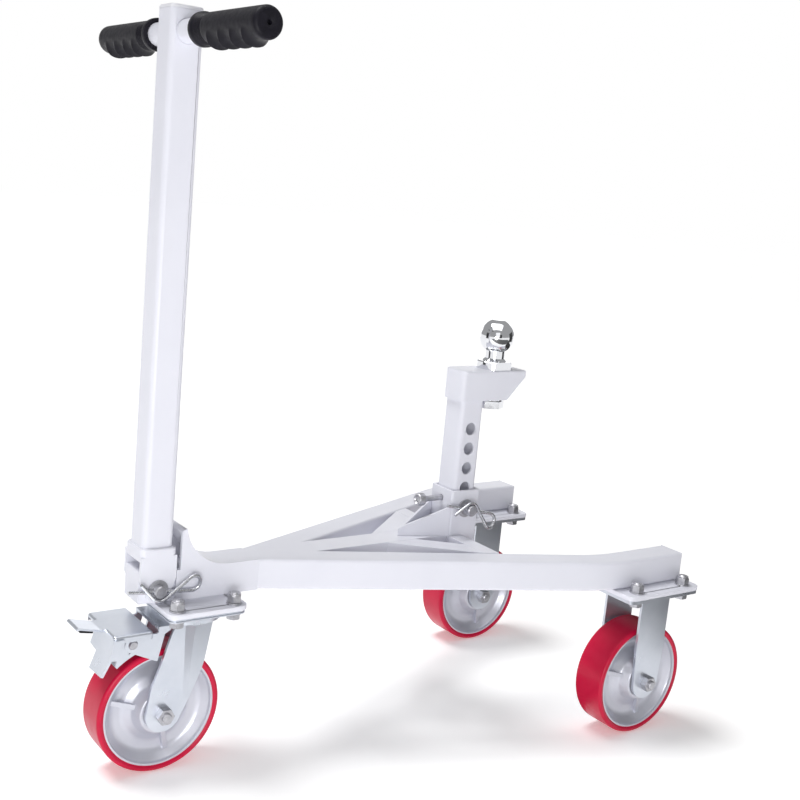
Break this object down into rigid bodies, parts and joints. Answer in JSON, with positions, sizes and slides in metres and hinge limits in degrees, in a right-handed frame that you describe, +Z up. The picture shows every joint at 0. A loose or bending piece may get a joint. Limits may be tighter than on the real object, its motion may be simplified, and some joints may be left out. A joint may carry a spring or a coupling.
{
  "type": "trailer dolly",
  "caption": "Manual trailer dolly: Y-shaped frame on three caster wheels, tilting T-handle with grips, and a pinned sliding post with a hitch ball.",
  "frame": {"origin": "middle of the bounding box's footprint, on the floor", "axes": "+Z up, +X from the handle to the hitch ball along the frame's spine, +Y to the left"},
  "size_m": [0.8425, 0.475, 0.914],
  "materials": {
    "frame_paint": "satin white powder coat with a faint lavender tint",
    "cap_plastic": "moulded white plastic",
    "caster_steel": "bright zinc plate on pressed steel",
    "fastener_zinc": "zinc plate",
    "bearing_steel": "ground steel",
    "spring_wire": "bright spring wire",
    "wheel_core_metal": "die-cast aluminium, painted silver",
    "tyre_red": "red polyurethane tread",
    "grip_rubber": "matt black rubber",
    "ball_chrome": "polished chrome plate"
  },
  "bodies": {
    "frame": {"frame_spine": "frame_paint", "neck_shell": "frame_paint", "arm_far": "frame_paint", "arm_near": "frame_paint", "arm_end_caps": "cap_plastic", "diagonal_braces": "frame_paint", "cross_tubes": "frame_paint", "post_socket": "frame_paint", "socket_gussets": "frame_paint", "caster_pads": "frame_paint", "mount_bolts": "fastener_zinc", "mount_washers": "fastener_zinc", "mount_nuts": "fastener_zinc", "rear_fork_near": "caster_steel", "rear_fork_far": "caster_steel", "rear_axle_bolts": "fastener_zinc", "rear_axle_nuts": "fastener_zinc", "rear_axle_sleeves": "fastener_zinc", "swivel_plate": "caster_steel", "swivel_balls": "bearing_steel", "king_bolt": "fastener_zinc", "king_nut": "fastener_zinc", "handle_pin": "fastener_zinc", "handle_clip": "spring_wire", "post_pin": "fastener_zinc", "pin_washers": "fastener_zinc", "post_clip": "spring_wire"},
    "handle": {"handle_foot": "frame_paint", "handle_column": "frame_paint", "column_cap": "cap_plastic", "handlebar_tube": "frame_paint", "grip_far": "grip_rubber", "grip_near": "grip_rubber"},
    "clamp_screw": {"clamp_screw": "fastener_zinc"},
    "hitch_post": {"ball_post": "frame_paint", "ball_head": "frame_paint", "hitch_ball": "ball_chrome", "lock_washer": "ball_chrome", "ball_nut": "ball_chrome"},
    "front_swivel": {"swivel_fork": "caster_steel", "front_axle_bolt": "fastener_zinc", "front_axle_nut": "fastener_zinc", "front_axle_sleeve": "fastener_zinc", "brake_bracket": "caster_steel", "brake_pivot_pin": "fastener_zinc", "brake_spring": "spring_wire"},
    "front_wheel": {"wheel_core_front": "wheel_core_metal", "tyre_front": "tyre_red", "hub_bearings_front": "bearing_steel"},
    "near_wheel": {"wheel_core_near": "wheel_core_metal", "tyre_near": "tyre_red", "hub_bearings_near": "bearing_steel"},
    "far_wheel": {"wheel_core_far": "wheel_core_metal", "tyre_far": "tyre_red", "hub_bearings_far": "bearing_steel"},
    "brake_lever": {"brake_pedal": "caster_steel", "pedal_pad": "grip_rubber", "release_plate": "caster_steel", "brake_shoe": "caster_steel"}
  },
  "joints": [
    {"name": "handle_tilt", "type": "hinge", "parent": "frame", "child": "handle", "pos_m": [-0.32475, 0, 0.238], "axis": [0, -1, 0], "range_deg": [0, 70]},
    {"name": "post_slide", "type": "slide", "parent": "frame", "child": "hitch_post", "axis": [0, 0, 1], "range_m": [-0.114, 0.057]},
    {"name": "clamp_screw_travel", "type": "slide", "parent": "frame", "child": "clamp_screw", "axis": [-1, 0, 0], "range_m": [0, 0.0045]},
    {"name": "front_swivel", "type": "hinge", "parent": "frame", "child": "front_swivel", "pos_m": [-0.27475, 0, 0.2], "axis": [0, 0, 1], "continuous": true},
    {"name": "front_wheel_spin", "type": "hinge", "parent": "front_swivel", "child": "front_wheel", "pos_m": [-0.31275, 0, 0.08], "axis": [0, 1, 0], "continuous": true},
    {"name": "near_wheel_spin", "type": "hinge", "parent": "frame", "child": "near_wheel", "pos_m": [0.34225, -0.185, 0.08], "axis": [0, 1, 0], "continuous": true},
    {"name": "far_wheel_spin", "type": "hinge", "parent": "frame", "child": "far_wheel", "pos_m": [0.34225, 0.185, 0.08], "axis": [0, 1, 0], "continuous": true},
    {"name": "brake_press", "type": "hinge", "parent": "front_swivel", "child": "brake_lever", "pos_m": [-0.35675, 0, 0.177], "axis": [0, -1, 0], "range_deg": [0, 7.5], "stiffness_Nm_per_rad": 2, "springref_deg": -20.05}
  ]
}
